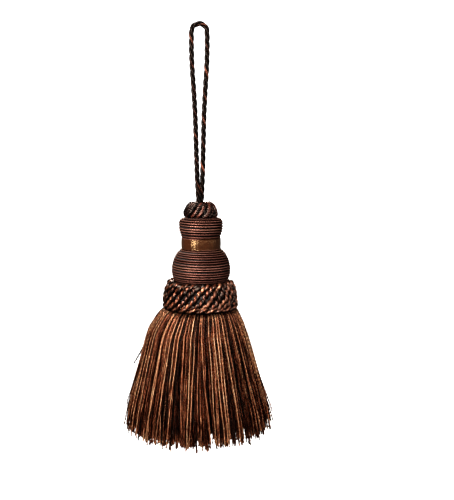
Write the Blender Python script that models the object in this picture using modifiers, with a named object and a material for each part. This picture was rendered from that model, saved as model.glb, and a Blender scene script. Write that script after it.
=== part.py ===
"""Key tassel: a hanging cord loop, a wound and roped head, and a full skirt of cut strands.

Metres, +Z up. The origin is the inside top of the loop, where a key, knob or hook carries it,
and the tassel hangs straight down from there. Its front faces -Y.
From the top down: the hanging loop, a small rope rosette, a wound drum, a ribbon band, a wound
bulb, a thick rope collar and the skirt. Neighbours stay SEAT apart.
"""

import math

import bmesh
import bpy
from mathutils import Vector

MM = 0.001
SEAT = 0.3 * MM  # what two pieces that press on each other keep between their faces
TURN = 2.0 * math.pi

# The hanging loop: one cord, up on the left and down on the right.
CORD_DIAMETER = 2.2 * MM
CORD_SAMPLES = 2  # straight lengths between two points of its route
# Half of the loop, bottom to top: half the gap between the runs, how far the left run stands
# forward of the right one, and the height. The right half is the same, turned about Z.
LOOP_HALF = [
    (0.75 * MM, 1.05 * MM, -111.8 * MM),
    (0.78 * MM, 1.05 * MM, -103.0 * MM),
    (1.10 * MM, 0.70 * MM, -97.5 * MM),
    (1.50 * MM, 0.25 * MM, -89.5 * MM),
    (1.88 * MM, 0.0, -78.8 * MM),
    (2.17 * MM, 0.0, -67.5 * MM),
    (2.50 * MM, 0.0, -54.5 * MM),
    (3.02 * MM, 0.0, -43.5 * MM),
    (3.65 * MM, 0.0, -33.0 * MM),
    (4.25 * MM, 0.0, -24.0 * MM),
    (4.55 * MM, 0.0, -15.5 * MM),
    (4.62 * MM, 0.0, -8.5 * MM),
    (4.52 * MM, 0.0, -3.4 * MM),
    (3.92 * MM, 0.0, -1.05 * MM),
    (2.28 * MM, 0.0, 0.50 * MM),
]
LOOP_TOP = (0.0, 0.0, CORD_DIAMETER / 2)

# The wound head. Each shoulder is a row of (radius, height) points from its top to its bottom.
DRUM_TOP = -112.1 * MM
DRUM_SHOULDER = [
    (9.8 * MM, DRUM_TOP),
    (11.2 * MM, -112.45 * MM),
    (12.3 * MM, -113.3 * MM),
    (12.9 * MM, -114.5 * MM),
    (12.95 * MM, -117.9 * MM),
    (12.7 * MM, -119.7 * MM),
    (12.2 * MM, -121.5 * MM),
    (11.6 * MM, -123.2 * MM),
    (11.3 * MM, -124.2 * MM),
]
NECK_RADIUS = 10.3 * MM
NECK_JOINT = -128.0 * MM  # where the drum's core stands on the bulb's, under the ribbon
RIBBON_TOP = -124.5 * MM
RIBBON_BOTTOM = -131.5 * MM
RIBBON_THICKNESS = 1.0 * MM
RIBBON_CROWN = 0.4 * MM
BULB_SHOULDER = [
    (12.3 * MM, -131.8 * MM),
    (13.3 * MM, -132.3 * MM),
    (14.4 * MM, -133.5 * MM),
    (15.35 * MM, -135.1 * MM),
    (16.25 * MM, -137.0 * MM),
    (17.0 * MM, -139.3 * MM),
    (17.45 * MM, -142.0 * MM),
    (17.5 * MM, -144.8 * MM),
    (17.1 * MM, -147.4 * MM),
    (16.1 * MM, -149.6 * MM),
    (14.9 * MM, -151.2 * MM),
    (13.3 * MM, -152.7 * MM),
]
HEAD_STEPS = 32

# The two rope rings. Rope strands spiral round a ring's section as they run round the axis,
# and crossings is how many times a strand passes over the outer side of the ring.
ROSETTE = {
    "centre_radius": 6.4 * MM,
    "half_width": 3.5 * MM,
    "top": -102.0 * MM,
    "bottom": DRUM_TOP + SEAT,
    "lean": 0.0,
    "strands": 3,
    "crossings": 10,
    "groove": 1.5 * MM,
    "steps": 48,
}
COLLAR = {
    "centre_radius": 18.8 * MM,
    "half_width": 3.3 * MM,
    "top": -149.4 * MM,
    "bottom": -166.4 * MM,
    "lean": 1.2 * MM,
    "strands": 7,
    "crossings": 28,
    "groove": 1.2 * MM,
    "steps": 56,
}
POINTS_PER_STRAND = 4

# The skirt: a filled bundle, bound at its neck inside the collar, cut level at its foot.
SKIRT_OUTSIDE = [
    (15.0 * MM, -153.0 * MM),
    (15.0 * MM, -162.6 * MM),
    (16.8 * MM, -165.9 * MM),
    (19.4 * MM, -167.1 * MM),
    (21.7 * MM, -167.4 * MM),
    (23.7 * MM, -168.8 * MM),
    (26.0 * MM, -172.5 * MM),
    (29.0 * MM, -178.1 * MM),
    (31.8 * MM, -186.3 * MM),
    (34.3 * MM, -194.5 * MM),
    (37.0 * MM, -204.0 * MM),
    (39.9 * MM, -214.5 * MM),
    (42.5 * MM, -226.0 * MM),
    (44.7 * MM, -238.6 * MM),
]
SKIRT_UNDERSIDE = [
    (39.0 * MM, -239.2 * MM),
    (24.5 * MM, -239.6 * MM),
    (11.0 * MM, -239.8 * MM),
]
SKIRT_STEPS = 64
LOCKS_FROM = COLLAR["bottom"] - 3.0 * MM  # the bundle parts into locks from here to its foot
LOCK_DEPTH = 1.1 * MM  # how far a lock stands out at the foot
TOOTH_DEPTH = 2.4 * MM  # the comb of the cut ends, a tooth to every second step
PLAIN_MIDDLE = 5.0 * MM  # inside this radius the bundle's foot isn't combed


def material(name, colour, roughness, sheen):
    """A Principled material: the yarn's colour, how dull it is, and its soft bloom."""
    made = bpy.data.materials.new(name)
    made.use_nodes = True
    shader = made.node_tree.nodes["Principled BSDF"]
    shader.inputs["Base Color"].default_value = (*colour, 1.0)
    shader.inputs["Roughness"].default_value = roughness
    shader.inputs["Metallic"].default_value = 0.0
    shader.inputs["Sheen Weight"].default_value = sheen
    made.diffuse_color = (*colour, 1.0)
    return made


def finished(obj, collection, finish):
    """Puts the object in its collection, gives it its material and shades it smooth."""
    collection.objects.link(obj)
    obj.data.materials.append(finish)
    if obj.type == "MESH":
        obj.data.shade_smooth()
        obj.data.set_sharp_from_angle(angle=math.radians(50))
    return obj


def turned(name, profile, steps):
    """A profile of (radius, height) points, outer side top to bottom, turned about Z."""
    mesh = bpy.data.meshes.new(name)
    points = [(radius, 0.0, height) for radius, height in profile]
    edges = [(i, i + 1) for i in range(len(points) - 1)]
    if profile[0][0] > 0.0:
        edges.append((len(points) - 1, 0))
    mesh.from_pydata(points, edges, [])
    obj = bpy.data.objects.new(name, mesh)
    screw = obj.modifiers.new("Turn", "SCREW")
    screw.angle = TURN
    screw.steps = steps
    screw.render_steps = steps
    screw.use_merge_vertices = True
    screw.merge_threshold = 0.01 * MM
    return obj


def rope_ring(name, size):
    """A ring whose section is ridged by strands, lofted so that its edges run along them."""
    count = size["strands"] * POINTS_PER_STRAND
    turns = size["crossings"] / size["strands"]
    seam_shift = size["crossings"] * POINTS_PER_STRAND % count
    half_height = (size["top"] - size["bottom"]) / 2
    middle = (size["top"] + size["bottom"]) / 2
    mesh = bmesh.new()
    rings = []
    for step in range(size["steps"]):
        around = step / size["steps"]
        ring = []
        for point in range(count):
            from_ridge = point / POINTS_PER_STRAND % 1.0
            groove = size["groove"] * (1 - abs(math.cos(math.pi * from_ridge)))
            across = TURN * (point / count + turns * around)
            radius = size["centre_radius"] + (size["half_width"] - groove) * math.cos(across)
            radius -= size["lean"] * math.sin(across)
            height = middle + (half_height - groove) * math.sin(across)
            x = radius * math.cos(TURN * around)
            y = radius * math.sin(TURN * around)
            ring.append(mesh.verts.new((x, y, height)))
        rings.append(ring)
    first_again = rings[0][seam_shift:] + rings[0][:seam_shift]
    for ring, after in zip(rings, [*rings[1:], first_again]):
        for point in range(count):
            other = (point + 1) % count
            mesh.faces.new((ring[point], after[point], after[other], ring[other]))
    bmesh.ops.triangulate(mesh, faces=mesh.faces)
    data = bpy.data.meshes.new(name)
    mesh.to_mesh(data)
    mesh.free()
    return bpy.data.objects.new(name, data)


def smooth_route(points, samples):
    """Points on the smooth curve (Catmull-Rom) through a route's own points."""
    route = [2 * points[0] - points[1], *points, 2 * points[-1] - points[-2]]
    curve = []
    for a, b, c, d in zip(route, route[1:], route[2:], route[3:]):
        for i in range(samples):
            t = i / samples
            bend = 2 * a - 5 * b + 4 * c - d
            twist = 3 * b - a - 3 * c + d
            curve.append(0.5 * (2 * b + (c - a) * t + bend * t**2 + twist * t**3))
    return [*curve, points[-1]]


def hanging_loop():
    """The cord: from the drum's top through the rosette, over the top, and back."""
    left = [Vector((-gap, -forward, height)) for gap, forward, height in LOOP_HALF]
    right = [Vector((-point.x, -point.y, point.z)) for point in reversed(left)]
    route = smooth_route([*left, Vector(LOOP_TOP), *right], CORD_SAMPLES)
    curve = bpy.data.curves.new("hanging_loop", "CURVE")
    curve.dimensions = "3D"
    curve.bevel_depth = CORD_DIAMETER / 2
    curve.bevel_resolution = 2
    curve.use_fill_caps = True
    spline = curve.splines.new("POLY")
    spline.points.add(len(route) - 1)
    for point, place in zip(spline.points, route):
        point.co = (*place, 1.0)
    return bpy.data.objects.new("hanging_loop", curve)


def drum():
    """The upper winding, a waisted drum on a narrow neck that stands inside the ribbon."""
    foot = [(NECK_RADIUS, DRUM_SHOULDER[-1][1]), (NECK_RADIUS, NECK_JOINT)]
    profile = [(0.0, DRUM_TOP), *DRUM_SHOULDER, *foot, (0.0, NECK_JOINT)]
    return turned("upper_winding", profile, HEAD_STEPS)


def bulb():
    """The lower winding: its neck takes the drum's, and its foot closes inside the collar."""
    top = NECK_JOINT - SEAT
    neck = [(0.0, top), (NECK_RADIUS, top), (NECK_RADIUS, BULB_SHOULDER[0][1])]
    profile = [*neck, *BULB_SHOULDER, (0.0, BULB_SHOULDER[-1][1])]
    return turned("lower_winding", profile, HEAD_STEPS)


def ribbon():
    """One turn of satin ribbon round the neck, a little crowned across its width."""
    inside = NECK_RADIUS + SEAT
    edge = inside + RIBBON_THICKNESS
    middle = (RIBBON_TOP + RIBBON_BOTTOM) / 2
    outside = [
        (edge, RIBBON_TOP),
        (edge + RIBBON_CROWN, middle + 1.4 * MM),
        (edge + RIBBON_CROWN, middle - 1.4 * MM),
        (edge, RIBBON_BOTTOM),
    ]
    return turned("ribbon_band", [*outside, (inside, RIBBON_BOTTOM), (inside, RIBBON_TOP)], HEAD_STEPS)


def lock_wave(around):
    """How proud a lock of strands stands at this part of a turn: uneven, from about -1 to 1."""
    angle = TURN * around
    wide = math.sin(9 * angle + 0.7) + 0.6 * math.sin(13 * angle + 2.1)
    return 0.4 * wide + 0.35 * math.sin(21 * angle + 4.0)


def tooth_drop(around):
    """How far the foot hangs down at this part of a turn: teeth and notches of uneven depth."""
    step = round(around * SKIRT_STEPS)
    depth = TOOTH_DEPTH * (0.7 + 0.3 * math.sin(2.3 * step))
    return depth if step % 2 else -0.2 * depth


def skirt():
    """The strand bundle, turned, then parted into locks and combed to teeth at its foot."""
    first = SKIRT_OUTSIDE[0]
    last = SKIRT_UNDERSIDE[-1]
    profile = [(0.0, first[1]), *SKIRT_OUTSIDE, *SKIRT_UNDERSIDE, (0.0, last[1])]
    blank = turned("skirt_blank", profile, SKIRT_STEPS)
    bpy.context.scene.collection.objects.link(blank)
    bpy.context.view_layer.update()
    graph = bpy.context.evaluated_depsgraph_get()
    mesh = bpy.data.meshes.new_from_object(blank.evaluated_get(graph))
    bpy.data.objects.remove(blank)
    mesh.name = "fringe_skirt"
    foot = SKIRT_OUTSIDE[-1][1]
    for vertex in mesh.vertices:
        place = vertex.co
        radius = math.hypot(place.x, place.y)
        if place.z > LOCKS_FROM or radius < PLAIN_MIDDLE:
            continue
        around = math.atan2(place.y, place.x) / TURN
        if place.z <= foot:
            place.z -= tooth_drop(around)
        spread = min(1.0, (LOCKS_FROM - place.z) / (LOCKS_FROM - foot))
        wider = 1.0 + spread * LOCK_DEPTH * lock_wave(around) / radius
        place.x *= wider
        place.y *= wider
    return bpy.data.objects.new("fringe_skirt", mesh)


def main():
    for obj in list(bpy.data.objects):
        bpy.data.objects.remove(obj)
    tassel = bpy.data.collections.new("key_tassel")
    bpy.context.scene.collection.children.link(tassel)
    dark_cord = material("dark_brown_cord", (0.045, 0.017, 0.010), 0.55, 0.3)
    winding_yarn = material("brown_winding_yarn", (0.085, 0.027, 0.017), 0.50, 0.3)
    satin = material("bronze_satin_ribbon", (0.15, 0.055, 0.020), 0.32, 0.2)
    rope = material("bronze_rope", (0.16, 0.063, 0.028), 0.45, 0.3)
    strands = material("copper_skirt_strands", (0.27, 0.095, 0.035), 0.42, 0.3)
    finished(hanging_loop(), tassel, dark_cord)
    finished(rope_ring("rope_rosette", ROSETTE), tassel, rope)
    finished(drum(), tassel, winding_yarn)
    finished(ribbon(), tassel, satin)
    finished(bulb(), tassel, winding_yarn)
    finished(rope_ring("rope_collar", COLLAR), tassel, rope)
    finished(skirt(), tassel, strands)


main()
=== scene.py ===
# %% [markdown]
# # A key tassel
# This lesson makes a furnishing tassel: a twisted cord loop, a head of wound and roped yarn,
# and a full skirt of cut yarns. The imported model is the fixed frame, and the outlines below
# are read from it. Units are metres, +Z is up, and the front faces -Y.

# %% Load the frame
import math

import bpy
import numpy as np
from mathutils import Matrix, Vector


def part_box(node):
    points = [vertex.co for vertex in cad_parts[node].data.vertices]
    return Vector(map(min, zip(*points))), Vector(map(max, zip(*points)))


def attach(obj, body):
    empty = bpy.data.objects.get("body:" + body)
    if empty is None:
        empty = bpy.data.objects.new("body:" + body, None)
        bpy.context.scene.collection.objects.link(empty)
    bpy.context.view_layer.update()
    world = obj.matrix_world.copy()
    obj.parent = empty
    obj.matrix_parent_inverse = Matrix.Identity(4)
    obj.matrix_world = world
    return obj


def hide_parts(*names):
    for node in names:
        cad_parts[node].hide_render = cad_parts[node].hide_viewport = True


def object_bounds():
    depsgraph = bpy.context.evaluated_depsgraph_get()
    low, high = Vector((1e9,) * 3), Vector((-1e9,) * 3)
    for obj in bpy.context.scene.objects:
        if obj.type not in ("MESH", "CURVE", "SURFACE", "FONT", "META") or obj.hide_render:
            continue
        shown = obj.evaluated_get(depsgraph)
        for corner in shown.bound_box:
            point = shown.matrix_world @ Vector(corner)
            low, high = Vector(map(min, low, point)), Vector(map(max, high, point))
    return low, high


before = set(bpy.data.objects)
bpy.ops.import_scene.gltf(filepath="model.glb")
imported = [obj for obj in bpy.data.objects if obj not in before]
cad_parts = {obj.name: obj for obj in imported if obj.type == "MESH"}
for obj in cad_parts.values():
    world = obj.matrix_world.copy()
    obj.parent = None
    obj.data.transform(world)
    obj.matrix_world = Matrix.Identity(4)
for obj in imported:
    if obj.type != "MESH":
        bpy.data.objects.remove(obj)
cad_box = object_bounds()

MM = 0.001
TURN = 2.0 * math.pi
scene = bpy.context.scene
print("frame parts:", ", ".join(sorted(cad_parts)))

# %% [markdown]
# ## The camera
# A lens of normal length stands a little above the tassel's middle and to its right, and
# looks slightly down. So the wound turns show as shallow curves and the skirt's foot as a
# deeper one. A level camera would draw them all as flat lines.

# %% The camera
LENS_MM = 54.72
CAMERA_PLACE = (16.2 * MM, -455.8 * MM, -74.5 * MM)
CAMERA_DOWN = math.radians(7.17)

lens = bpy.data.cameras.new("camera")
lens.lens = LENS_MM
lens.clip_start = 0.01
lens.clip_end = 20.0
camera = bpy.data.objects.new("camera", lens)
camera.location = CAMERA_PLACE
camera.rotation_euler = (math.pi / 2 - CAMERA_DOWN, 0.0, 0.0)
scene.collection.objects.link(camera)
scene.camera = camera
print("camera lens", lens.lens, "mm")

# %% [markdown]
# ## The route of the hanging loop
# The loop is one cord that leaves the head, runs up on the left, over the top and down on
# the right. It could be a curve object, but its plies have to twist round each other, so a
# route comes first. Half of it is a short list, bottom to top, and the other half is the
# same, turned about the axis.

# %% The route of the hanging loop
# In mm: half the gap between the runs, how far the left run stands forward, the height.
LOOP_HALF = [
    (0.75, 1.05, -111.8),
    (0.78, 1.05, -103.0),
    (1.10, 0.70, -97.5),
    (1.50, 0.25, -89.5),
    (1.88, 0.0, -78.8),
    (2.17, 0.0, -67.5),
    (2.50, 0.0, -54.5),
    (3.02, 0.0, -43.5),
    (3.65, 0.0, -33.0),
    (4.25, 0.0, -24.0),
    (4.55, 0.0, -15.5),
    (4.62, 0.0, -8.5),
    (4.52, 0.0, -3.4),
    (3.92, 0.0, -1.05),
    (2.28, 0.0, 0.50),
]
LOOP_TOP = (0.0, 0.0, 1.1 * MM)
ROUTE_SAMPLES = 12
ROUTE_STEP = 0.35 * MM


def smooth_route(points, samples):
    """Points on a smooth curve (Catmull-Rom) that passes through all the given ones."""
    route = [2 * points[0] - points[1], *points, 2 * points[-1] - points[-2]]
    curve = []
    for a, b, c, d in zip(route, route[1:], route[2:], route[3:]):
        for i in range(samples):
            t = i / samples
            bend = 2 * a - 5 * b + 4 * c - d
            twist = 3 * b - a - 3 * c + d
            curve.append(0.5 * (2 * b + (c - a) * t + bend * t**2 + twist * t**3))
    return [*curve, points[-1]]


def lengths_along(paths):
    """How far along its path each point lies. Paths are rows of points."""
    legs = np.linalg.norm(np.diff(paths, axis=-2), axis=-1)
    return np.concatenate([np.zeros_like(legs[..., :1]), np.cumsum(legs, axis=-1)], axis=-1)


def evenly(path, step):
    """The same path with its points a step apart."""
    reach = lengths_along(path)
    wanted = np.linspace(0.0, reach[-1], int(reach[-1] / step) + 1)
    return np.stack([np.interp(wanted, reach, path[:, axis]) for axis in range(3)], axis=1)


left_run = [Vector((-gap * MM, -forward * MM, height * MM)) for gap, forward, height in LOOP_HALF]
right_run = [Vector((-p.x, -p.y, p.z)) for p in reversed(left_run)]
loop_curve = smooth_route([*left_run, Vector(LOOP_TOP), *right_run], ROUTE_SAMPLES)
loop_route = evenly(np.array([tuple(p) for p in loop_curve]), ROUTE_STEP)

# %% [markdown]
# ## Which way is across
# Nearly everything here is yarn, and a yarn is a tube round a path. To draw the tube, each
# point of the path needs two directions across it. They are carried from point to point with
# as little turning as can be: a fixed upright one would twist the tube wherever the path
# points up. Plies are paths that circle another path.

# %% Which way is across
def directions(paths):
    """Each point's direction ahead, and two directions across that turn no more than needed."""
    ahead = np.gradient(paths, axis=1)
    ahead /= np.linalg.norm(ahead, axis=2, keepdims=True)
    side = np.empty_like(ahead)
    axes = np.eye(3)[np.argmin(np.abs(ahead[:, 0]), axis=1)]
    last = np.cross(ahead[:, 0], axes)
    for step in range(paths.shape[1]):
        here = ahead[:, step]
        last = last - (last * here).sum(axis=1, keepdims=True) * here
        last = last / np.linalg.norm(last, axis=1, keepdims=True)
        side[:, step] = last
    return ahead, side, np.cross(ahead, side)


def wound_round(path, plies, offset, pitch, start=0.0):
    """The paths of plies that twist round one path. Their humps slant like a backslash."""
    _, side, other = directions(path[None])
    steps = lengths_along(path)[:, None] / pitch
    turns = -TURN * steps + TURN * np.arange(plies) / plies + start
    across = np.cos(turns)[..., None] * side[0][:, None] + np.sin(turns)[..., None] * other[0][:, None]
    return (path[:, None] + offset * across).transpose(1, 0, 2)


# %% [markdown]
# ## Tubes in one mesh
# Curve objects with a bevel would look the same, but there would be thousands of them. So
# many tubes are built at once by filling the mesh's own arrays: rings of points, four-sided
# faces between them and a cap at each end. A ring may be waisted, and may turn as it goes.

# %% Tubes in one mesh
def tube_points(paths, widths, spin):
    """A ring of points round each point of the paths, and their directions out from it."""
    sides = widths.shape[-1]
    _, side, other = directions(paths)
    turn = TURN * np.arange(sides) / sides + spin[..., None]
    ring = np.cos(turn)[..., None] * side[:, :, None] + np.sin(turn)[..., None] * other[:, :, None]
    return paths[:, :, None] + 0.5 * widths[..., None] * ring, ring


def wall_corners(count, steps, sides):
    """For each corner of each four-sided face: its tube, its ring and its place round."""
    strand = np.arange(count)[:, None, None, None]
    step = np.arange(steps - 1)[:, None, None] + np.array([0, 0, 1, 1])
    place = np.arange(sides)[:, None] + np.array([0, 1, 1, 0])
    return strand, step, place


def tube_mesh(name, points):
    """A mesh of closed tubes. Points has a row for each tube, ring and place round."""
    count, steps, sides, _ = points.shape
    strand, step, place = wall_corners(count, steps, sides)
    walls = (strand * steps + step) * sides + place % sides
    ends = np.stack([np.arange(sides)[::-1], (steps - 1) * sides + np.arange(sides)])
    caps = np.arange(count)[:, None, None] * steps * sides + ends
    corners = np.concatenate([walls.ravel(), caps.ravel()])
    starts = [np.arange(walls.size // 4) * 4, walls.size + np.arange(2 * count) * sides]
    mesh = bpy.data.meshes.new(name)
    mesh.vertices.add(points.size // 3)
    mesh.vertices.foreach_set("co", points.astype(np.float32).ravel())
    mesh.loops.add(len(corners))
    mesh.loops.foreach_set("vertex_index", corners.astype(np.int32))
    mesh.polygons.add(sum(len(part) for part in starts))
    mesh.polygons.foreach_set("loop_start", np.concatenate(starts).astype(np.int32))
    mesh.update(calc_edges=True)
    mesh.shade_smooth()
    return mesh


# %% [markdown]
# ## What each point of a tube knows
# A finish has to know where on a yarn it is. The map "yarn" says how far along and how far
# round a point lies, for the twist of the fibres. "OFBake" lays the tubes out as strips, so
# that their colours can be kept as a picture. The number "tone" picks a dye, and in the skirt
# it also carries painted shade. A second number is 1 where a yarn faces outwards and 0 where
# it turns in: it paints light on the outer side and shade in the gaps. Painted pictures
# would need far more.

# %% What each point of a tube knows
STRIP_STEPS = 60


def bake_strips(count, steps, sides, strip_steps, shape):
    """Where each face corner lies when every strip of tube is laid flat beside the others."""
    strips = -(-(steps - 1) // strip_steps)
    total = count * strips
    rows = max(1, round(math.sqrt(total * shape)))
    columns = -(-total // rows)
    step = np.arange(steps - 1)
    strip = np.arange(count)[:, None] * strips + step // strip_steps
    begin = (step % strip_steps) / strip_steps
    high = begin[:, None] + np.array([0, 0, 1, 1]) / strip_steps
    wide = (np.arange(sides)[:, None] + np.array([0, 1, 1, 0])) / sides
    # Each strip keeps a margin: 6 % of its cell at each side and 2 % at each end.
    u = (strip % columns)[:, :, None, None] + 0.06 + 0.88 * wide[None, None]
    v = (strip // columns)[:, :, None, None] + 0.02 + 0.96 * high[None, :, None]
    return np.stack(np.broadcast_arrays(u / columns, v / rows), axis=-1)


def set_map(mesh, name, corners):
    layer = mesh.uv_layers.new(name=name)
    layer.data.foreach_set("uv", np.ascontiguousarray(corners, np.float32).ravel())


def add_yarn_map(mesh, along, sides):
    """The map "yarn": millimetres along the tube, and the share of the way round it."""
    count, steps = along.shape
    strand, step, place = wall_corners(count, steps, sides)
    far = along[strand, step] + 0.0 * place
    walls = np.stack([far, np.broadcast_to(place / sides, far.shape)], axis=-1).reshape(-1, 2)
    ends = np.repeat(along[:, [0, -1]].ravel(), sides)
    caps = np.stack([ends, np.tile(np.arange(sides) / sides, 2 * count)], axis=-1)
    set_map(mesh, "yarn", np.concatenate([walls, caps]))


def add_bake_map(mesh, along, widths, strip_steps):
    """The map "OFBake": strips of tube side by side, each cap a tiny ring at a strip's middle."""
    count, steps, sides = widths.shape
    strip_length = float(along[:, -1].mean()) * min(1.0, strip_steps / (steps - 1))
    shape = float(np.mean(widths)) / MM * math.pi / strip_length
    laid = bake_strips(count, steps, sides, strip_steps, shape)
    centre = laid[:, [0, -1]].mean(axis=(2, 3))
    fan = TURN * np.arange(sides) / sides
    caps = centre[:, :, None] + 0.002 * np.stack([np.cos(fan), np.sin(fan)], axis=-1)
    set_map(mesh, "OFBake", np.concatenate([laid.reshape(-1, 2), caps.reshape(-1, 2)]))


def add_number(mesh, name, values):
    number = mesh.attributes.new(name, "FLOAT", "POINT")
    number.data.foreach_set("value", values.astype(np.float32).ravel())


# %% [markdown]
# ## A piece of yarns
# One function makes every piece of yarn, loop or skirt, from paths, widths and tones. Code of
# its own for each would hide what differs between them.

# %% A piece of yarns
def link(name, mesh, finish):
    mesh.materials.append(finish)
    piece = bpy.data.objects.new(name, mesh)
    scene.collection.objects.link(piece)
    triangles = sum(len(p.vertices) - 2 for p in mesh.polygons)
    print(f"{name}: {triangles} triangles")
    return piece


def yarn_piece(name, paths, widths, sides, tones, finish, away, strip_steps=None, low=0.45, lobes=None):
    """One mesh of yarns. Away is the outward direction at each point, in some pieces tilted
    towards the lamps: the side facing it gets the painted light, and low is how far a side may
    turn from it before it is in full painted shade. Lobes is a pair: each side's share of the
    full width, and how far the section has turned at each point."""
    count, steps, _ = paths.shape
    every = (count, steps, sides)
    shares, spin = lobes or (np.ones(sides), np.zeros((count, steps)))
    widths = np.broadcast_to(widths, (count, steps))[..., None] * shares
    points, ring = tube_points(paths, widths, spin)
    mesh = tube_mesh(name, points)
    along = lengths_along(paths) / MM
    add_yarn_map(mesh, along, sides)
    add_bake_map(mesh, along, widths, strip_steps or steps - 1)
    tones = np.broadcast_to(np.asarray(tones, float).reshape(count, -1), (count, steps))
    add_number(mesh, "tone", np.broadcast_to(tones[..., None], every))
    # Painted light and shade: a side is lighter the more it faces along away, and painted shade grows as
    # it turns in; a waisted section's waist gets less, so the painted light falls in dots.
    facing = 0.5 + 0.5 * shares * (ring * away[:, :, None]).sum(axis=-1)
    add_number(mesh, "crest", np.clip((facing - low) / (1.0 - low), 0.0, 1.0))
    return link(name, mesh, finish)


# %% [markdown]
# ## Shader maths as Python
# The finishes need sums of waves and noise. Placing Math nodes one by one is slow to read,
# so a small class holds a socket and adds the node when Python's own signs are used on it.
# A colour goes through Vector Math, because a Math node would turn it grey.

# %% Shader maths as Python
class Shade:
    """One output of a finish's nodes. The signs + - * ** on it add Math nodes."""

    def __init__(self, tree, socket=None):
        self.tree = tree
        self.socket = socket

    def node(self, kind, settings, values, output=0):
        """Adds one node: its settings first, then its sockets' values or links."""
        made = self.tree.nodes.new(kind)
        for name, value in settings.items():
            if name == "stops":
                set_stops(made.color_ramp.elements, value)
            else:
                setattr(made, name, value)
        for name, value in values.items():
            if isinstance(value, Shade):
                self.tree.links.new(value.socket, made.inputs[name])
            else:
                made.inputs[name].default_value = value
        return Shade(self.tree, made.outputs[output] if made.outputs else None)

    def maths(self, operation, *values):
        return self.node("ShaderNodeMath", {"operation": operation}, dict(enumerate(values)))

    def __add__(self, other):
        return self.maths("ADD", self, other)

    __radd__ = __add__

    def __sub__(self, other):
        return self.maths("SUBTRACT", self, other)

    def __rsub__(self, other):
        return self.maths("SUBTRACT", other, self)

    def __mul__(self, other):
        return self.maths("MULTIPLY", self, other)

    __rmul__ = __mul__

    def __pow__(self, other):
        return self.maths("POWER", self, other)

    def cosine(self):
        return self.maths("COSINE", self)

    def clipped(self):
        return self.node("ShaderNodeClamp", {}, {"Value": self})

    def dimmed(self, share):
        """This colour times a number that changes over the surface."""
        return self.node("ShaderNodeVectorMath", {"operation": "SCALE"}, {0: self, "Scale": share})

    def ramp(self, dyes):
        """A colour from a ramp, given as places and the codes of dyes."""
        return self.node("ShaderNodeValToRGB", {"stops": dyes}, {"Fac": self})

    def noise(self, place, scale, detail=2.0):
        values = {"Vector": place, "Scale": scale, "Detail": detail}
        return self.node("ShaderNodeTexNoise", {}, values, "Fac")

    def place(self, x, y, z=0.0):
        return self.node("ShaderNodeCombineXYZ", {}, {"X": x, "Y": y, "Z": z})


def dye(code):
    """A colour as Blender wants it, from the usual six letters and digits."""
    parts = [int(code[i : i + 2], 16) / 255 for i in (0, 2, 4)]
    light = [p / 12.92 if p <= 0.04045 else ((p + 0.055) / 1.055) ** 2.4 for p in parts]
    return (*light, 1.0)


def set_stops(stops, dyes):
    while len(stops) < len(dyes):
        stops.new(0.5)
    for stop, (place, code) in zip(stops, dyes.items()):
        stop.position = place
        stop.color = dye(code)


def new_finish(name):
    """An empty material and the first of its shades."""
    material = bpy.data.materials.new(name)
    material.use_nodes = True
    material.node_tree.nodes.clear()
    return material, Shade(material.node_tree)


def finish_with(start, values):
    """Closes a material with one Principled shader."""
    shader = start.node("ShaderNodeBsdfPrincipled", {}, values)
    start.node("ShaderNodeOutputMaterial", {}, {"Surface": shader})


# %% [markdown]
# ## Rayon yarn
# Rayon is smooth filaments, spun and plied, with a silky shine that takes the warm colour of
# the dye. Its twist shows as slanting rows of tiny lights with dark lines between: the bump and
# the shine give glints on the humps, and the dark lines are painted shade down in the twist's
# grooves. That is drawn from the "yarn" map, which turns with the tube: a flat pattern would
# slide over it. Each yarn's tone picks its dye from a ramp, so one finish serves a mixed skirt.
# Where a yarn turns in, down between two yarns, painted shade keeps the colour dark.

# %% The rayon finish
# How much of the dye the deepest painted shade between yarns leaves.
PAINTED_SHADE_FLOOR = 0.03


def along_and_round(start):
    """Two shades from the "yarn" map: how far along and how far round a point lies."""
    laid = start.node("ShaderNodeUVMap", {"uv_map": "yarn"}, {})
    return [start.node("ShaderNodeSeparateXYZ", {}, {"Vector": laid}, way) for way in "XY"]


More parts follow.
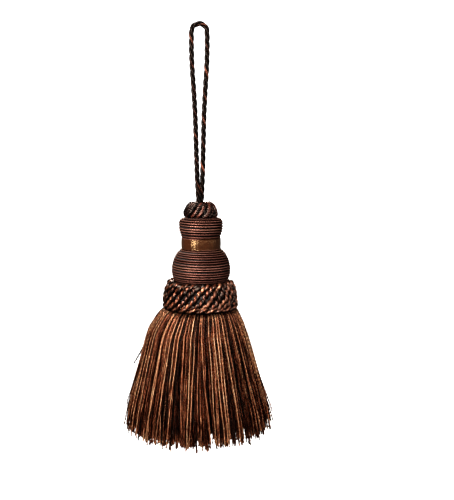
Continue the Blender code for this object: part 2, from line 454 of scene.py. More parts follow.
def rayon(name, dyes, pitch, plies, depth, rough, uneven, dark, silk, narrow, shine):
    """Twisted rayon. Pitch is one turn of the twist in millimetres, depth how deep its grooves
    are and dark how much painted shade darkens them. Uneven is how far a yarn's tone strays,
    silk the share of the shine that takes the dye, and shine the share that stays pale. A higher
    narrow draws in the painted light on the outer side and widens the painted shade."""
    material, start = new_finish(name)
    along, around = along_and_round(start)
    tone = start.node("ShaderNodeAttribute", {"attribute_name": "tone"}, {}, "Fac")
    crest = start.node("ShaderNodeAttribute", {"attribute_name": "crest"}, {}, "Fac")
    # Large multiples of the tone start each yarn's twist and noise at a place of its own.
    turns = around * plies - along * (plies / pitch) + tone * 91.0
    hill = 0.5 + 0.5 * (turns * TURN).cosine()
    filaments = start.noise(start.place(along * 0.9, turns * 3.0, tone * 37.0), 1.0)
    patches = start.noise(start.place(along * 0.12, tone * 53.0), 1.0)
    picked = (tone + (patches - 0.5) * uneven).clipped()
    # Painted shade: the colour darkens down in the twist's grooves and where the yarn turns in towards its
    # neighbours, to a floor; only the side that faces out keeps the full dye.
    strength = ((1.0 - dark) + dark * hill) * (0.66 + 0.68 * filaments)
    strength *= PAINTED_SHADE_FLOOR + (1.0 - PAINTED_SHADE_FLOOR) * crest**narrow
    height = hill + filaments * 0.35
    normal = start.node("ShaderNodeBump", {}, {"Height": height, "Distance": depth, "Strength": 1.0})
    finish_with(start, {
        "Base Color": picked.ramp(dyes).dimmed(strength),
        "Roughness": rough + 0.2 * (1.0 - hill),
        "Normal": normal,
        "Specular IOR Level": shine,
        "Specular Tint": (1.0, 0.80, 0.70, 1.0),
        "Metallic": silk * (0.5 + 0.5 * hill),
    })
    return material


# %% [markdown]
# ## The loop cord
# Three plies twist round each other, to the left, so their humps slant like a backslash and
# the outline is only a little bumpy. Two plies would show a waist between the humps. The
# cord is nearly black, with reddish brown lights and one paler ply.

# %% The loop cord
LOOP_PLIES = 3
LOOP_PLY = 1.56 * MM
LOOP_PLY_OFFSET = 0.80 * MM
LOOP_PITCH = 14.0 * MM
LOOP_TONES = [0.25, 0.5, 0.8]


def ply_away(path, plies_paths):
    """The direction from a cord's middle to each of its plies."""
    away = plies_paths - path[None]
    return away / np.linalg.norm(away, axis=2, keepdims=True)


loop_finish = rayon(
    "loop_rayon",
    {0.0: "040101", 0.5: "0a0302", 0.8: "200b06", 1.0: "6c4030"},
    pitch=2.6, plies=3, depth=0.10 * MM, rough=0.3,
    uneven=0.55, dark=0.5, silk=0.4, narrow=1.8, shine=0.15,
)
loop_plies = wound_round(loop_route, LOOP_PLIES, LOOP_PLY_OFFSET, LOOP_PITCH)
loop = yarn_piece(
    "loop_cord", loop_plies, LOOP_PLY, 10, LOOP_TONES, loop_finish,
    ply_away(loop_route, loop_plies), STRIP_STEPS,
)

# %% [markdown]
# ## Outlines from the frame
# The windings and the skirt follow the frame's own solids. Their outlines could be typed in
# again, but reading them keeps the two models the same: each height at which a solid has a
# ring of points gives one row of radius and height.

# %% Outlines from the frame
SAME_HEIGHT = 0.01 * MM


def outline(node):
    """Rows of (radius, height) down the outside of a turned part of the frame."""
    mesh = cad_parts[node].data
    points = np.empty(len(mesh.vertices) * 3, np.float32)
    mesh.vertices.foreach_get("co", points)
    points = points.reshape(-1, 3).astype(float)
    heights = np.round(points[:, 2], 5)
    radii = np.hypot(points[:, 0], points[:, 1])
    rows = [(radii[heights == h].max(), h) for h in np.unique(heights)[::-1]]
    return np.array(rows)


def between(rows, top, bottom):
    """The rows of an outline from one height down to another."""
    return rows[(rows[:, 1] <= top + SAME_HEIGHT) & (rows[:, 1] >= bottom - SAME_HEIGHT)]


def outline_at(rows, reach):
    """The radii and the heights at these lengths down an outline."""
    at = lengths_along(rows)
    return np.array([np.interp(reach, at, rows[:, column]) for column in (0, 1)])


def outward(rows, reach, step=0.6 * MM):
    """The outward and the upward share of the outline's normal at these lengths."""
    run, drop = outline_at(rows, reach + step) - outline_at(rows, reach - step)
    size = np.hypot(run, drop)
    return -drop / size, run / size


for node in ("upper_winding", "lower_winding", "fringe_skirt"):
    print(node, "outline rows:", len(outline(node)))


# %% [markdown]
# ## How a winding lies
# The head is a core wound with one yarn, turn against turn. A grooved surface would give the
# ribs, but real turns catch the light unevenly and show dark gaps. So the yarn is one long
# helix laid on the outline, over a plain dark core. The head hangs a little to one side of
# the loop, as a soft thing does.

# %% How a winding lies
TURN_STEPS = 112
YARN_SHARE = 0.88
# How the turns stray up and down: waves to a turn, and their size as a share of the pitch.
WANDER = ((0.37, 0.045), (0.61, 0.03), (1.7, 0.015))
HEAD_SHIFT = np.array([0.5 * MM, 0.0, 0.0])


def polar(radius, angle, height):
    """Points or directions round the axis."""
    flat = np.broadcast_arrays(radius * np.cos(angle), radius * np.sin(angle), height)
    return np.stack(flat, axis=-1)


def winding_path(rows, seed, pitch):
    """A yarn laid turn beside turn down an outline, and the outward direction along it."""
    rng = np.random.default_rng(seed)
    total = lengths_along(rows)[-1]
    turns = round(total / pitch)
    around = np.linspace(0.0, turns, turns * TURN_STEPS)
    wander = np.zeros(len(around))
    for waves, size in WANDER:
        wander += size * pitch * np.sin(TURN * (around * waves + rng.random()))
    reach = np.clip(around * total / turns + wander, 0.0, total)
    radius, height = outline_at(rows, reach)
    out, up = outward(rows, reach)
    radius -= out * YARN_SHARE * pitch / 2
    height -= up * YARN_SHARE * pitch / 2
    angle = TURN * around + TURN * 0.25
    return polar(radius, angle, height) + HEAD_SHIFT, polar(out, angle, up), turns


# %% [markdown]
# ## Cores
# Under every winding and inside every rope ring something dark closes the gaps. Its
# near-black colour is painted shade, for the shade down between the turns and strands. It
# hardly shows, so a plain turned shape is enough, with a faint noise of dull threads.

# %% Cores
def lathed(name, rows, finish, ends=2, steps=64):
    """A shape turned round the axis from (radius, height) rows. With no ends it is a ring."""
    ring = [(math.cos(TURN * i / steps), math.sin(TURN * i / steps)) for i in range(steps)]
    points = [(r * x, r * y, h) for r, h in rows for x, y in ring]
    count = len(rows)
    faces = []
    for row in range(count - 1 if ends else count):
        for i in range(steps):
            after = (i + 1) % steps
            below = (row + 1) % count * steps
            faces.append((row * steps + i, below + i, below + after, row * steps + after))
    if ends > 0:
        faces.append(tuple(range(steps)))
    if ends > 1:
        faces.append(tuple(reversed(range(len(points) - steps, len(points)))))
    mesh = bpy.data.meshes.new(name)
    mesh.from_pydata(points, [], faces)
    mesh.shade_smooth()
    return link(name, mesh, finish)


def core_finish():
    material, start = new_finish("core_painted_shade")
    place = start.node("ShaderNodeTexCoord", {}, {}, "Object")
    threads = start.noise(place, 900.0)
    # Painted shade: near black, since only the gaps show it.
    dark = threads.ramp({0.3: "060302", 0.7: "120806"})
    finish_with(start, {"Base Color": dark, "Roughness": 0.85 - 0.2 * threads})
    return material


core = core_finish()

# %% [markdown]
# ## The wound drum and bulb
# Both parts are wound with the same dark brown yarn, closer on the bulb. Its tone drifts from
# turn to turn, and one or two turns of each part are paler. Each turn has a thin painted
# highlight along its ridge and painted shade in the grooves, so the lines stay even where the
# surface faces down. The upper side of a turn catches the light, so the painted highlight
# leans upwards: one that faced straight out would look striped.

# %% The wound drum and bulb
DRUM_PITCH = 1.66 * MM
BULB_PITCH = 1.56 * MM
# How far the painted highlight on each turn leans up, towards the light from above.
LIT_FROM_ABOVE = 0.4
CORE_DEPTH = 0.62
CORE_TOP_DROP = 0.6
PALE_TURN = 0.9
# The pinkish tan of these dyes shows only in the narrow painted highlight along each turn's ridge; the
# rest of the yarn gets painted shade.
wound_finish = rayon(
    "winding_rayon",
    {0.0: "2a110a", 0.45: "66463e", 0.8: "7c5a50", 1.0: "725b3a"},
    pitch=2.9, plies=3, depth=0.05 * MM, rough=0.34,
    uneven=0.25, dark=0.3, silk=0.6, narrow=9.0, shine=0.0,
)


def wound_part(name, rows, seed, pitch):
    """The yarn and the core of one wound part."""
    path, away, turns = winding_path(rows, seed, pitch)
    away = away + LIT_FROM_ABOVE * np.array([0.0, 0.0, 1.0])
    away /= np.linalg.norm(away, axis=1, keepdims=True)
    width = YARN_SHARE * pitch
    rng = np.random.default_rng(seed + 50)
    knots = rng.uniform(0.3, 0.72, turns + 3)
    knots[rng.integers(2, turns - 3, 2)] = PALE_TURN
    tones = np.interp(np.linspace(0, turns, len(path)), np.arange(len(knots)), knots)
    yarn = yarn_piece(
        name, path[None], width, 12, tones, wound_finish, away[None], TURN_STEPS, low=0.74
    )
    inner = [(r - CORE_DEPTH * width, h) for r, h in rows]
    inner[0] = (inner[0][0], rows[0][1] - CORE_TOP_DROP * width)
    base = lathed(name + "_core", inner, core)
    print(name, f"{turns} turns")
    return yarn, base


# %% [markdown]
# ## Where the windings begin and end
# The outlines come from the frame. Rows added at their ends let the turns run on under the
# neighbours, and both are let out a little, because the frame keeps gaps between its solids
# that cloth doesn't have.

# %% Where the windings begin and end
RIBBON_TOP = -124.4 * MM
RIBBON_FOOT = -130.8 * MM
BULB_TOP = -131.9 * MM
UNDER_ROSETTE = (4.4 * MM, -111.2 * MM)
NECK = 10.9 * MM
DRUM_LET_OUT = 0.35 * MM
BULB_LET_OUT = 0.3 * MM

drum_rows = outline("upper_winding")
drum_rows = between(drum_rows, drum_rows[0, 1], RIBBON_TOP)
drum_rows = np.vstack([[UNDER_ROSETTE], drum_rows, [(NECK, RIBBON_TOP - 1.4 * MM)]])
drum_rows[1:, 0] += DRUM_LET_OUT
bulb_rows = outline("lower_winding")
bulb_rows = between(bulb_rows, BULB_TOP, bulb_rows[-1, 1])
bulb_rows = np.vstack([[(NECK, RIBBON_FOOT + 0.6 * MM)], bulb_rows])
bulb_rows[:, 0] += BULB_LET_OUT
drum, drum_core = wound_part("upper_winding_yarn", drum_rows, 3, DRUM_PITCH)
bulb, bulb_core = wound_part("lower_winding_yarn", bulb_rows, 8, BULB_PITCH)

# %% [markdown]
# ## Satin
# In satin long threads run round the ribbon and hide the ones that cross them, so it spreads
# a light into a silky streak. Fine stretched noise draws both sets of threads, and a steep
# curve across it raises the woven edges. A flat colour would look like painted metal.

# %% The ribbon's finish
ribbon_width = RIBBON_TOP - RIBBON_FOOT


def satin():
    material, start = new_finish("ribbon_satin")
    along, across = along_and_round(start)
    threads = start.noise(start.place(along * 0.5, across * 7.0), 1.0, 3.0)
    picks = start.noise(start.place(along * 3.5, across * 0.9), 1.0, 3.0)
    edge = ((across * (2.0 * MM / ribbon_width) - 1.0) ** 8.0).clipped()
    mixed = threads * 0.5 + picks * 0.5
    height = threads * 0.6 + picks * 0.7 + edge * 1.2
    normal = start.node("ShaderNodeBump", {}, {"Height": height, "Distance": 0.07 * MM})
    finish_with(start, {
        "Base Color": mixed.ramp({0.25: "1a0e08", 0.55: "30190e", 0.8: "50331c"}),
        "Roughness": 0.13 + 0.14 * picks,
        "Metallic": 0.2 + 0.2 * threads,
        "Specular IOR Level": 1.0,
        "Normal": normal,
        "Specular Tint": (1.0, 0.78, 0.45, 1.0),
        "Anisotropic": 0.7,
        "Anisotropic Rotation": 0.25,
    })
    return material


# %% [markdown]
# ## The satin ribbon
# One turn of narrow ribbon hides the neck, its end lapped over its start behind. It is a
# flat tube here, a little crowned and puckered. A cloth simulation could pucker it too, but
# so narrow a strip only needs a few slanting waves.

# %% The ribbon
RIBBON_CLOTH = 0.4 * MM
RIBBON_LAP = 12.0 * MM
RIBBON_CROWN = 0.16 * MM
RIBBON_PUCKERS = ((9, 0.05 * MM), (17, 0.04 * MM), (31, 0.035 * MM), (53, 0.02 * MM))
RIBBON_ROLL = 0.12 * MM
ribbon_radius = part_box("ribbon_band")[1].x + 0.1 * MM


def ribbon_points(columns, rows):
    """A flat ring of points at each step round: down the outer face and up the inner one."""
    rng = np.random.default_rng(21)
    around = np.linspace(0.0, 1.0, columns)[:, None]
    angle = TURN / 4 + (TURN + RIBBON_LAP / ribbon_radius) * around
    lap = np.clip((around - 0.80) / 0.14, 0.0, 1.0)
    lift = RIBBON_CLOTH * 1.1 * lap * lap * (3 - 2 * lap)
    v = np.linspace(1.0, -1.0, rows)
    pucker = np.zeros((columns, rows))
    for waves, size in RIBBON_PUCKERS:
        lean = rng.uniform(-0.4, 0.4)
        pucker += size * np.sin(TURN * (waves * around + rng.random()) + lean * v)
    radius = ribbon_radius - 0.35 * MM + lift + RIBBON_CROWN * (1 - v**2) + pucker
    rise = RIBBON_ROLL * np.sin(TURN * (2 * around + 0.15))
    height = (RIBBON_TOP + RIBBON_FOOT) / 2 + v * ribbon_width / 2 + rise
    outer = polar(radius, angle, height)
    inner = polar(radius - RIBBON_CLOTH, angle, height)
    return np.concatenate([outer, inner[:, ::-1]], axis=1)[None] + HEAD_SHIFT


def ribbon_mesh(columns=220, rows=12):
    """The strip as one flat tube, with the "yarn" map in millimetres along and up it."""
    mesh = tube_mesh("satin_ribbon", ribbon_points(columns, rows))
    mesh.set_sharp_from_angle(angle=math.radians(60))
    length = (TURN * ribbon_radius + RIBBON_LAP) / MM
    print(f"ribbon laid flat: {ribbon_width / MM:.1f} x {length:.0f} mm")
    vertex = np.empty(len(mesh.loops), np.int32)
    mesh.loops.foreach_get("vertex_index", vertex)
    along = vertex // (2 * rows) / (columns - 1) * length
    up = np.abs(rows - 0.5 - vertex % (2 * rows)) - 0.5
    set_map(mesh, "yarn", np.stack([along, up / (rows - 1) * ribbon_width / MM], axis=-1))
    return mesh


ribbon = link("satin_ribbon", ribbon_mesh(), satin())

# %% [markdown]
# ## Paths of rope rings
# The rosette and the collar are rings of rope, its strands slanting to the right. They could
# be grooves in a plain ring, but a strand is itself a cord whose humps catch the light one
# by one. So each strand's path spirals round the ring's section as it runs round the axis,
# and a dark ring inside closes the gaps as painted shade. Each strand's painted light is
# tilted to its upper left side, the side the key lamp lights, and its other side gets painted
# shade.

# %% Paths of rope rings
FULL_CORNERS = 0.85


def on_ring(centre, half_width, middle, half_height, lean, around, across):
    """Points that spiral round a ring's section, and their outward directions.

    The section is an oval with fuller corners, and lean moves its foot outwards."""
    angle = TURN / 4 + TURN * around
    wide = np.sign(np.cos(across)) * np.abs(np.cos(across)) ** FULL_CORNERS
    tall = np.sign(np.sin(across)) * np.abs(np.sin(across)) ** FULL_CORNERS
    radius = centre + half_width * wide - lean * tall
    height = middle + half_height * tall
    out = wide / half_width
    up = tall / half_height
    away = polar(out, angle, up) / np.hypot(out, up)[:, None]
    return polar(radius, angle, height), away


def leaned_to_light(path, away, share):
    """The outward direction, tilted to the cord's upper left side, so that side gets the painted
    light of the key lamp and the other side painted shade.
    """
    along = np.gradient(path, axis=0)
    over = np.cross(away, along)
    mixed = away + share * over / np.linalg.norm(over, axis=1, keepdims=True)
    return mixed / np.linalg.norm(mixed, axis=1, keepdims=True)


def ring_core(name, centre, half_width, middle, half_height, lean):
    """The dark ring inside a rope ring, near black as painted shade for the gaps."""
    angle = TURN * np.arange(23, -1, -1) / 24
    radius = centre + half_width * np.cos(angle) - lean * np.sin(angle)
    height = middle + half_height * np.sin(angle)
    return lathed(name, np.stack([radius, height], axis=1), core, ends=0)


def lobed(sides, waist, lobes, mean=1.0):
    """Each side's share of the full width in a section with this many lobes."""
    return mean + waist * np.cos(lobes * TURN * np.arange(sides) / sides)


# %% [markdown]
# ## The collar
# The collar is a thick roll of seven cords, wound side by side over the skirt's binding. Each
# looks knobbly, because its two plies come to the front by turns. Separate plies would be too
# fine to read, so a cord is one tube with a two-lobed section that turns as it goes. The lay
# is a little steeper at the right, where it joins.

# %% The collar
COLLAR_STRANDS = 7
COLLAR_CROSSINGS = 28
COLLAR_CORD = 3.0 * MM
COLLAR_SIDES = 20
COLLAR_LOBES = 2
COLLAR_PITCH = 6.8 * MM
COLLAR_EDGE = 1.1 * MM
COLLAR_CENTRE = 18.75 * MM
COLLAR_HALF_WIDTH = 1.9 * MM
COLLAR_LEAN = 1.2 * MM
COLLAR_JOIN = 0.09
COLLAR_JOIN_PLACE = 0.85
COLLAR_LUMPS = ((17, 0.3 * MM), (23, 0.28 * MM), (31, 0.22 * MM))
ROPE_DROP = 0.6 * MM
collar_low, collar_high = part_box("rope_collar")
collar_half = (collar_high.z - collar_low.z - COLLAR_CORD) / 2 - COLLAR_EDGE / 2
collar_middle = (collar_high.z + collar_low.z) / 2 - ROPE_DROP + COLLAR_EDGE / 2


def collar_lay(around):
    """How far the rope has turned: faster, so steeper, in the join at the right."""
    join = COLLAR_JOIN * np.sin(TURN * (around - COLLAR_JOIN_PLACE)) / TURN
    return around + join + COLLAR_JOIN * math.sin(TURN * COLLAR_JOIN_PLACE) / TURN


collar_dyes = {0.0: "0e0604", 0.35: "28120c", 0.6: "5c3424", 0.8: "8a604a", 1.0: "d0b09c"}
# The cord's own section carries its twist, so the finish draws none: its pitch is endless.
collar_finish = rayon(
    "collar_rayon", collar_dyes, pitch=1e6, plies=COLLAR_LOBES, depth=0.08 * MM, rough=0.26,
    uneven=0.6, dark=0.75, silk=0.55, narrow=4.4, shine=0.35,
)
rng = np.random.default_rng(5)
around = np.linspace(0.0, 1.0, 440)
collar_paths = []
collar_away = []
for which in range(COLLAR_STRANDS):
    turned = TURN * (which + COLLAR_CROSSINGS * collar_lay(around)) / COLLAR_STRANDS
    path, away = on_ring(
        COLLAR_CENTRE, COLLAR_HALF_WIDTH, collar_middle, collar_half, COLLAR_LEAN, around, turned
    )
    lift = sum(size * np.sin(TURN * (waves * around + rng.random())) for waves, size in COLLAR_LUMPS)
    path = path + lift[:, None] * away
    collar_paths.append(path)
    # Painted light on each cord's upper left side, painted shade on the other.
    collar_away.append(leaned_to_light(path, away, 0.65))
collar_paths = np.stack(collar_paths)
collar_tones = rng.uniform(0.36, 0.7, COLLAR_STRANDS)
collar_spin = TURN * rng.random((COLLAR_STRANDS, 1)) - TURN * lengths_along(collar_paths) / COLLAR_PITCH
collar = yarn_piece(
    "rope_collar_cords", collar_paths, COLLAR_CORD, COLLAR_SIDES, collar_tones, collar_finish,
    np.stack(collar_away), STRIP_STEPS, low=0.5,
    lobes=(lobed(COLLAR_SIDES, 0.2, COLLAR_LOBES, 0.97), collar_spin),
)
collar_core = ring_core(
    "rope_collar_core", COLLAR_CENTRE, 1.3 * MM, collar_middle, collar_half - 0.3 * MM, COLLAR_LEAN
)

# %% [markdown]
# ## The collar's edging
# A thin cord of two plies runs round the collar's foot and shows as a row of small humps,
# closer than the rope's own. It makes a whole number of twists, so its ends meet.

# %% The collar's edging
EDGE_RADIUS = 20.9 * MM
EDGE_RISE = 1.0 * MM
EDGE_TURNS = 12
EDGE_PLY = 2.2 * MM
EDGE_PLY_OFFSET = 1.05 * MM
EDGE_SPIN = 5.0 * MM
EDGE_SIDES = 14
EDGE_TONES = [0.52, 0.64]
around = np.linspace(0.0, 1.0, 560)
angle = TURN / 4 + TURN * around
edge_route = polar(EDGE_RADIUS, angle, collar_low.z + EDGE_RISE)
edge_pitch = float(lengths_along(edge_route)[-1]) / EDGE_TURNS
edge_plies = wound_round(edge_route, 2, EDGE_PLY_OFFSET, edge_pitch, start=1.0)
# Tilted up, so the painted light falls on the upper side of each ply.
edge_away = polar(1.0, angle, 0.5)
edge_away /= np.linalg.norm(edge_away, axis=1, keepdims=True)
edge_spin = -TURN * lengths_along(edge_plies) / EDGE_SPIN
collar_edge = yarn_piece(
    "rope_collar_edging", edge_plies, EDGE_PLY, EDGE_SIDES, EDGE_TONES, collar_finish,
    np.broadcast_to(edge_away, edge_plies.shape), STRIP_STEPS, low=0.6,
    lobes=(lobed(EDGE_SIDES, 0.08, 2), edge_spin),
)

# %% [markdown]
# ## The rosette
# The small ring at the loop's foot is a short fat rope, laid four times round. One long path
# makes it, with two slow waves in its width: such a rope is pushed into place by hand, and
# four equal rings would look turned.

# %% The rosette
ROSETTE_ROUNDS = 4
ROSETTE_CROSSINGS = 15
ROSETTE_STRAND = 2.9 * MM
ROSETTE_SIDES = 24
ROSETTE_CENTRE = 6.1 * MM
ROSETTE_HALF_WIDTH = 2.0 * MM
ROSETTE_LEAN = 1.5 * MM
ROSETTE_TWIST = 17.0 * MM
rosette_low, rosette_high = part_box("rope_rosette")
rosette_half = (rosette_high.z - rosette_low.z - ROSETTE_STRAND) / 2
rosette_middle = (rosette_high.z + rosette_low.z) / 2
# The pale pink end of these dyes shows as thin painted highlights along the ridges; the cord itself is
# dark red-brown.
rosette_dyes = {0.0: "0d0504", 0.4: "200a06", 0.7: "5c362c", 1.0: "c49c8c"}
rosette_finish = rayon(
    "rosette_rayon", rosette_dyes, pitch=12.0, plies=6, depth=0.08 * MM, rough=0.24,
    uneven=0.9, dark=0.3, silk=0.5, narrow=7.0, shine=0.3,
)
around = np.linspace(0.0, ROSETTE_ROUNDS, 700)
across = TURN * ROSETTE_CROSSINGS / ROSETTE_ROUNDS * around
lumps = 0.35 * MM * np.sin(TURN * (4 * around / 3 + 0.1))
lumps += 0.25 * MM * np.sin(TURN * (7 * around / 3 + 0.6))
rosette_path, rosette_away = on_ring(
    ROSETTE_CENTRE, ROSETTE_HALF_WIDTH + lumps, rosette_middle - ROPE_DROP,
    rosette_half + 0.4 * lumps, ROSETTE_LEAN, around, across,
)
rosette_path += 0.7 * HEAD_SHIFT
rosette_spin = lengths_along(rosette_path)[None] / ROSETTE_TWIST * TURN
# Painted light on the strand's upper left side, painted shade on the other.
rosette = yarn_piece(
    "rope_rosette_strand", rosette_path[None], ROSETTE_STRAND, ROSETTE_SIDES, 0.5, rosette_finish,
    leaned_to_light(rosette_path, rosette_away, 0.5)[None], STRIP_STEPS, low=0.55,
    lobes=(lobed(ROSETTE_SIDES, 0.05, 4), rosette_spin),
)
rosette_core = ring_core(
    "rope_rosette_core", ROSETTE_CENTRE, 1.7 * MM,
    rosette_middle - 0.4 * MM, rosette_half - 0.2 * MM, 1.6 * MM,
)

# %% [markdown]
# ## How the yarns hang
# The skirt is hundreds of cut two-ply yarns, tied round the core under the collar. They
# spread over the shoulder, hang in thin locks with dark gaps between, and end raggedly. A
# grooved cone would be lighter, but it has no gaps and no ragged foot. So each yarn has a
# path that follows the frame's outline, is drawn to its lock, and waves a little.

# %% How the yarns hang
SKIRT_START = -165.6 * MM
SKIRT_READ_TO = -227.0 * MM
SKIRT_FOOT = (44.9 * MM, -238.7 * MM)
# The whole skirt swings to the left: shares of its length, and how far it stands off there.
SKIRT_SWAY = ([0.0, 0.25, 0.6, 1.0], [0.0, -2.1 * MM, -2.0 * MM, -1.3 * MM])
LOCKS = 64
LOCK_ANGLE = 0.028
YARN_ANGLE = 0.034
LOCK_END = 0.8 * MM
YARN_END = 1.5 * MM
YARN_WAVE = 0.8 * MM
DRAWN_IN = 0.8 * MM
skirt_rows = between(outline("fringe_skirt"), SKIRT_START, SKIRT_READ_TO)
skirt_rows = np.vstack([skirt_rows, [SKIRT_FOOT]])
skirt_length = float(lengths_along(skirt_rows)[-1])
print(f"skirt yarns follow {skirt_length * 1000:.0f} mm of outline")


def locks_of(count, rng):
    """The angles of the locks' middles round the skirt, from 0 up."""
    gaps = rng.uniform(0.4, 1.6, count)
    return np.cumsum(gaps) / gaps.sum() * TURN


def hanging_yarns(count, depth, spread, steps, locks, seed):
    """Paths of cut yarns. Depth is how far inside the outline they hang."""
    rng = np.random.default_rng(seed)
    start = (np.arange(count) + rng.uniform(-0.45, 0.45, count)) / count * TURN
    nearest = np.argmin(np.abs((start[:, None] - locks[None] + math.pi) % TURN - math.pi), axis=1)
    toward = (locks[nearest] - start + math.pi) % TURN - math.pi
    lock_rng = np.random.default_rng(seed + 1000)
    lock_out = lock_rng.uniform(-1.2, 0.5, len(locks))[nearest] * MM
    lock_pull = lock_rng.uniform(0.1, 0.6, len(locks))[nearest]
    lock_swing = lock_rng.normal(0.0, LOCK_ANGLE, len(locks))[nearest]
    lock_end = lock_rng.normal(0.0, LOCK_END, len(locks))[nearest]

    t = np.linspace(0.0, 1.0, steps)
    inside = depth + rng.uniform(0.0, spread, count)
    front = -np.sin(start)
    end = skirt_length + lock_end + rng.normal(0.0, YARN_END, count) + (1.6 * front - 0.8) * MM
    reach = end[:, None] * t
    over = np.clip(reach - skirt_length, 0.0, None)
    radius, height = outline_at(skirt_rows, reach)
    radius = (radius + 0.18 * over) * (1 - (inside / skirt_rows[-1, 0])[:, None])
    height -= 0.98 * over
    grow = t**1.2
    radius -= DRAWN_IN * np.sin(math.pi * np.clip((t - 0.3) / 0.68, 0.0, 1.0))
    radius += (lock_out + rng.normal(0.0, 0.3 * MM, count))[:, None] * grow
    wave = rng.uniform(0.3, 1.0, count)[:, None] * YARN_WAVE
    phase = TURN * rng.random(count)[:, None]
    waves = rng.uniform(0.8, 2.6, count)[:, None]
    angle = start[:, None] + (lock_pull * toward)[:, None] * grow
    angle += lock_swing[:, None] * t**2 + rng.normal(0.0, YARN_ANGLE, count)[:, None] * t
    angle += wave * np.sin(TURN * waves * t + phase) / (radius + 5 * MM) * grow
    radius += 0.6 * wave * np.cos(TURN * waves * t + 2 * phase) * grow
    points = polar(radius, angle, height)
    points[..., 0] += np.interp(t, *SKIRT_SWAY)
    return points, polar(1.0, angle, 0.0), nearest


# %% [markdown]
# ## The skirt's dyes
# The yarns are dyed from near black through copper to pale gold and mixed, every second one
# paler and the next darker. In the three outer layers a yarn has a waisted section that
# turns down it, as two plies do, and its finish adds only a long, slow twist. The ones
# behind are plain tubes, so their finish draws the whole twist.

# %% The skirt's dyes
TWO_PLY = np.array([1.0, 0.62, 1.0, 0.62])
PLIES = 2
skirt_dyes = {
    0.0: "0a0403", 0.2: "32170d", 0.4: "703a22", 0.58: "b27456",
    0.74: "daa07a", 0.88: "e8b088", 1.0: "f4c8a0",
}
twisted_finish = rayon(
    "skirt_twisted_rayon", skirt_dyes, pitch=40.0, plies=PLIES, depth=0.05 * MM, rough=0.26,
    uneven=1.2, dark=0.5, silk=0.7, narrow=1.6, shine=0.15,
)
skirt_finish = rayon(
    "skirt_rayon", skirt_dyes, pitch=4.0, plies=PLIES, depth=0.12 * MM, rough=0.28,
    uneven=1.2, dark=0.6, silk=0.4, narrow=2.0, shine=0.25,
)

# %% [markdown]
# ## The skirt's layers
# Seven layers fill the skirt from the outside in, the outer ones with the most detail. One
# layer would show its empty inside. Real gaps are dark because light is lost among the yarns,
# so the inner layers get painted shade, deeper the further in they lie, deeper near the top
# and a little near the foot, with none at the cut ends. The locks at the front get a little
# painted light, and those at the front right painted shade, away from the key lamp.

# %% The skirt's layers
PAINTED_SHADE_SIDE = TURN * 0.9
PAINTED_LIGHT_SIDE = TURN * 0.76
DYE_MIX = ([0.3, 0.5, 0.6, 0.68, 0.78], [0.14, 0.24, 0.30, 0.22, 0.10])
lock_places = locks_of(LOCKS, np.random.default_rng(40))
# Name, yarns, depth and its spread in mm, rings, width in mm, sides, and the share of the
# tone left by painted shade lower down and at the top.
layers = [
    ("skirt_outer_yarns", 150, 0.0, 0.7, 120, 1.05, 4, 1.0, 0.95),
    ("skirt_second_yarns", 120, 1.1, 0.6, 120, 1.05, 4, 0.7, 0.2),
    ("skirt_third_yarns", 120, 1.9, 0.8, 110, 1.05, 4, 0.45, 0.15),
    ("skirt_fourth_yarns", 190, 2.8, 1.4, 26, 0.9, 5, 0.3, 0.1),
    ("skirt_fifth_yarns", 200, 4.0, 2.5, 20, 1.1, 5, 0.15, 0.1),
    ("skirt_inner_yarns", 500, 5.0, 12.0, 12, 1.4, 4, 0.2, 0.2),
    ("skirt_heart_yarns", 520, 17.0, 26.0, 8, 1.8, 4, 0.2, 0.2),
]
skirt_pieces = []
for number, (name, count, depth, spread, steps, width, sides, lit, lit_top) in enumerate(layers):
    paths, away, lock = hanging_yarns(count, depth * MM, spread * MM, steps, lock_places, 60 + number)
    tone_rng = np.random.default_rng(90 + number)
    lock_tone_and_light = tone_rng.normal(0.0, 0.035, len(lock_places))
    # Painted light on the locks at the front, painted shade on those at the front right.
    lock_tone_and_light += 0.06 * np.clip(np.cos(lock_places - PAINTED_LIGHT_SIDE), 0.0, 1.0) ** 4
    lock_tone_and_light -= 0.1 * np.clip(np.cos(lock_places - PAINTED_SHADE_SIDE), 0.0, 1.0) ** 2
    mixed = tone_rng.choice(DYE_MIX[0], count, p=DYE_MIX[1])
    mixed += np.where(np.arange(count) % 2, 0.2, -0.25)
    mixed = np.clip(mixed + lock_tone_and_light[lock] + tone_rng.normal(0.0, 0.06, count), 0.0, 1.0)
    t = np.linspace(0.0, 1.0, steps)
    # Painted shade down each yarn: deepest at the top in most layers, a little deeper near the foot, none
    # at the cut end.
    tones = mixed[:, None] * np.interp(t, [0.0, 0.4, 0.6, 0.93, 1.0], [lit_top, lit, lit, 0.85 * lit, 1.0])
    thin = (0.7 + 0.3 * t) * (width * MM) * tone_rng.uniform(0.8, 1.15, count)[:, None]
    finish = skirt_finish
    lobes = None
    if steps > 100:
        finish = twisted_finish
        twist = lengths_along(paths) / tone_rng.uniform(4.0 * MM, 5.4 * MM, count)[:, None]
        lobes = (TWO_PLY, TURN * (twist + tone_rng.random(count)[:, None]))
    skirt_pieces.append(yarn_piece(name, paths, thin, sides, tones, finish, away, lobes=lobes))

# %% [markdown]
# ## The stray yarns
# A few yarns stand off from the rest near their ends, a third of them at the left. Random
# ones would fall anywhere, so these are listed one by one.

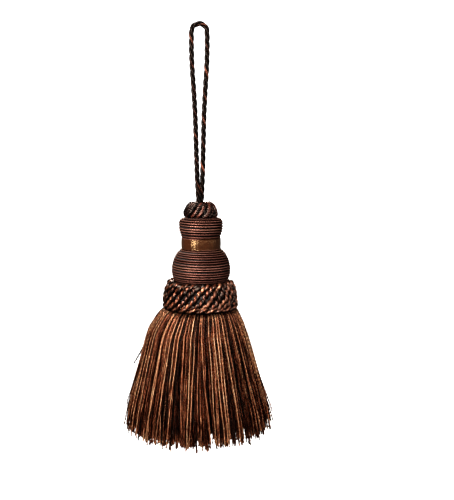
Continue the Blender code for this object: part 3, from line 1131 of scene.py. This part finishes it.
# %% The stray yarns
# Place round the skirt as a share of a turn, share of the full length, mm the end stands off.
strays = np.array([
    [0.500, 0.54, 3.0], [0.512, 0.50, 2.2], [0.495, 0.88, 1.4], [0.530, 1.00, 1.2], [0.560, 1.03, 0.8],
    [0.985, 0.90, 1.6], [0.975, 0.97, 2.0], [0.955, 1.02, 1.4], [0.66, 1.05, 0.6], [0.80, 1.05, 0.5],
    [0.90, 1.04, 0.9], [0.20, 0.72, 1.8], [0.31, 0.93, 1.4], [0.10, 0.97, 1.2], [0.40, 0.80, 1.0],
])
STRAY_INSET = 0.9 * MM
t = np.linspace(0.0, 1.0, 120)
reach = skirt_length * strays[:, 1:2] * t
radius, height = outline_at(skirt_rows, reach)
apart = np.clip((t - 0.65) / 0.35, 0.0, 1.0)
radius = radius - STRAY_INSET + (STRAY_INSET + strays[:, 2:3] * MM) * apart**1.5
angle = TURN * (strays[:, 0:1] + 0.004 * np.sin(TURN * 0.8 * t))
stray_paths = polar(radius, angle, height)
stray_paths[..., 0] += np.interp(t, *SKIRT_SWAY)
skirt_pieces.append(yarn_piece(
    "skirt_stray_yarns", stray_paths, 1.0 * MM, 4, np.linspace(0.3, 0.7, len(strays)), twisted_finish,
    polar(1.0, angle, 0.0), lobes=(TWO_PLY, TURN * lengths_along(stray_paths) / (4.4 * MM)),
))

# %% [markdown]
# ## The room
# The tassel hangs over a plain pale floor that curves up into a wall all round, so no edge
# shows from any side. A studio would use a paper roll.

# %% The room
FLOOR = cad_box[0].z - 62 * MM


def room_finish():
    material, start = new_finish("pale_paper")
    place = start.node("ShaderNodeTexCoord", {}, {}, "Object")
    grain = start.noise(place, 40.0)
    finish_with(start, {
        "Base Color": grain.ramp({0.0: "595959", 1.0: "616161"}),
        "Roughness": 0.95,
        "Emission Color": (1.0, 1.0, 1.0, 1.0),
        "Emission Strength": 0.85,
    })
    return material


bowl_rows = [(0.5, FLOOR), (0.9, FLOOR), (1.25, FLOOR + 0.05), (1.5, FLOOR + 0.2)]
bowl_rows += [(1.62, FLOOR + 0.5), (1.65, FLOOR + 1.0), (1.65, FLOOR + 2.2)]
backdrop = lathed("paper_bowl", bowl_rows, room_finish(), ends=1, steps=96)
backdrop.visible_diffuse = False
backdrop.visible_glossy = False
backdrop.visible_shadow = False

# %% [markdown]
# ## The light
# A small bright key lamp at the upper left makes the silky lights and the dark gaps. A long
# level strip in front lights the top of every wound turn, and a small low lamp sparks on the
# rope. A broad warm one at the right opens the shadows, a weak one serves the back, and an
# even grey world fills the rest. One large soft lamp would flatten the yarns.

# %% The light
middle = Vector((0.0, 0.0, -0.15))
GREY_WORLD = 0.12
EXPOSURE = 0.35


def soft_light(name, azimuth, elevation, distance, size, power, tint, tall=None):
    """A lamp that faces the tassel. Azimuth counts in degrees from the front to the right."""
    light = bpy.data.lights.new(name, "AREA")
    light.shape = "RECTANGLE"
    light.size = size
    light.size_y = tall or size
    light.energy = power
    light.color = tint
    turn, rise = math.radians(azimuth), math.radians(elevation)
    away = Vector((math.sin(turn) * math.cos(rise), -math.cos(turn) * math.cos(rise), math.sin(rise)))
    lamp = bpy.data.objects.new(name, light)
    lamp.location = middle + away * distance
    lamp.rotation_euler = (-away).to_track_quat("-Z", "Y").to_euler()
    scene.collection.objects.link(lamp)
    print(f"{name}: {power} W")


# Name, azimuth, elevation, distance, width, power, tint, and the height where it differs.
soft_light("key_lamp", -37, 48, 0.9, 0.22, 23.0, (1.0, 0.96, 0.90))
soft_light("strip_lamp", -8, 27, 0.9, 1.7, 20.0, (1.0, 0.96, 0.93), 0.16)
soft_light("spark_lamp", -37, 6, 0.9, 0.12, 4.0, (1.0, 0.95, 0.88))
soft_light("fill_lamp", 76, 24, 1.0, 0.5, 7.0, (1.0, 0.97, 0.93))
soft_light("back_lamp", 184, 24, 1.0, 0.2, 3.5, (1.0, 0.97, 0.93))

world = bpy.data.worlds.new("room_light")
world.use_nodes = True
sky = world.node_tree.nodes["Background"].inputs
sky["Color"].default_value = (1.0, 1.0, 1.0, 1.0)
sky["Strength"].default_value = GREY_WORLD
scene.world = world
look = scene.view_settings
look.view_transform = "Standard"
look.look = "High Contrast"
look.exposure = EXPOSURE

# %% [markdown]
# ## Joining the frame
# Every piece hangs with the one body and stands for its part of the frame, which is hidden.

# %% Joining the frame
for piece, node, slot in [
    (loop, "hanging_loop", "loop_cord"),
    (rosette, "rope_rosette", "rope"),
    (rosette_core, "rope_rosette", "rope"),
    (drum, "upper_winding", "winding"),
    (drum_core, "upper_winding", "winding"),
    (ribbon, "ribbon_band", "ribbon"),
    (bulb, "lower_winding", "winding"),
    (bulb_core, "lower_winding", "winding"),
    (collar, "rope_collar", "rope"),
    (collar_edge, "rope_collar", "rope"),
    (collar_core, "rope_collar", "rope"),
    *[(piece, "fringe_skirt", "skirt") for piece in skirt_pieces],
]:
    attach(piece, "root")
    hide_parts(node)
